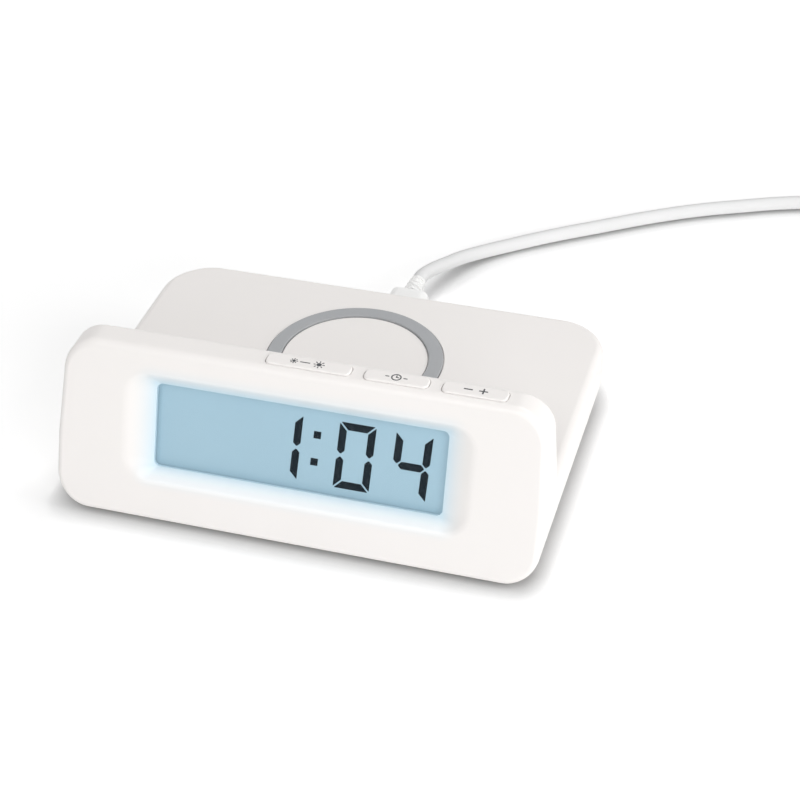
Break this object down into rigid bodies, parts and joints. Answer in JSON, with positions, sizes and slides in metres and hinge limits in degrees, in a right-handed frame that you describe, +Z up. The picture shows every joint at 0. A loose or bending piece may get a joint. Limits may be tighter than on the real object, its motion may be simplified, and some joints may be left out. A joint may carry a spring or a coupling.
{
  "type": "digital clock",
  "caption": "Desk clock with a sunken lit display in a leaning face, push buttons on top, a wireless charging pad behind it and a cable at the back.",
  "frame": {"origin": "centre of the footprint of the clock without its cable, at table height", "axes": "+X along the display to the right as the clock is read, +Y from the face to the cable, +Z up"},
  "size_m": [0.2333, 0.308, 0.0449],
  "materials": {
    "white_shell": "fine satin",
    "clear_window": "polished",
    "display_glass": "smooth",
    "milky_guide": "smooth",
    "white_frame": "plain",
    "green_board": "lacquered",
    "black_plastic": "plain",
    "grey_rubber": "matt",
    "black_rubber": "matt",
    "copper_wire": "lacquered copper wire",
    "ferrite": "dull ceramic",
    "steel": "bright zinc plate",
    "white_cord": "smooth"
  },
  "bodies": {
    "clock": {"main_housing": "white_shell", "bottom_cover": "white_shell", "display_window": "clear_window", "lcd_panel": "display_glass", "light_guide": "milky_guide", "backlight_lamp": "milky_guide", "display_holder": "white_frame", "contact_strip": "grey_rubber", "clock_board": "green_board", "key_board": "green_board", "switch_light": "black_plastic", "switch_set": "black_plastic", "switch_adjust": "black_plastic", "charging_coil": "copper_wire", "ferrite_sheet": "ferrite", "coil_carrier": "black_plastic", "charger_board": "green_board", "usb_socket": "steel", "ribbon_cable": "grey_rubber", "coin_cell": "steel", "cell_holder": "black_plastic", "cell_contact_top": "steel", "cell_contact_side": "steel", "buzzer": "black_plastic", "pad_ring": "grey_rubber", "cover_screw_1": "steel", "cover_screw_2": "steel", "cover_screw_3": "steel", "cover_screw_4": "steel", "charger_screw_1": "steel", "charger_screw_2": "steel", "rubber_foot_1": "grey_rubber", "rubber_foot_2": "grey_rubber", "rubber_foot_3": "grey_rubber", "rubber_foot_4": "grey_rubber", "display_screw_1": "steel", "display_screw_2": "steel", "carrier_screw_1": "steel", "carrier_screw_2": "steel", "cord_plug": "white_cord", "cord_relief": "white_cord", "cord_run": "white_cord", "cord_coil": "white_cord", "cord_tie": "black_rubber", "cord_tail": "white_cord", "cord_usb_relief": "white_cord", "cord_usb_grip": "white_cord", "cord_usb_shell": "steel"},
    "light_key": {"button_light": "white_shell", "plunger_light": "black_plastic"},
    "set_key": {"button_set": "white_shell", "plunger_set": "black_plastic"},
    "adjust_key": {"button_adjust": "white_shell", "plunger_adjust": "black_plastic"},
    "battery_cap": {"battery_cap": "white_shell"}
  },
  "joints": [
    {"name": "light_press", "type": "slide", "parent": "clock", "child": "light_key", "axis": [0, 0, -1], "range_m": [0, 0.0005], "stiffness_N_per_m": 1200},
    {"name": "set_press", "type": "slide", "parent": "clock", "child": "set_key", "axis": [0, 0, -1], "range_m": [0, 0.0005], "stiffness_N_per_m": 1200},
    {"name": "adjust_press", "type": "slide", "parent": "clock", "child": "adjust_key", "axis": [0, 0, -1], "range_m": [0, 0.0005], "stiffness_N_per_m": 1200},
    {"name": "cap_turn", "type": "hinge", "parent": "clock", "child": "battery_cap", "pos_m": [0.038, 0, 0.001], "axis": [0, 0, 1], "range_deg": [0, 50]}
  ]
}
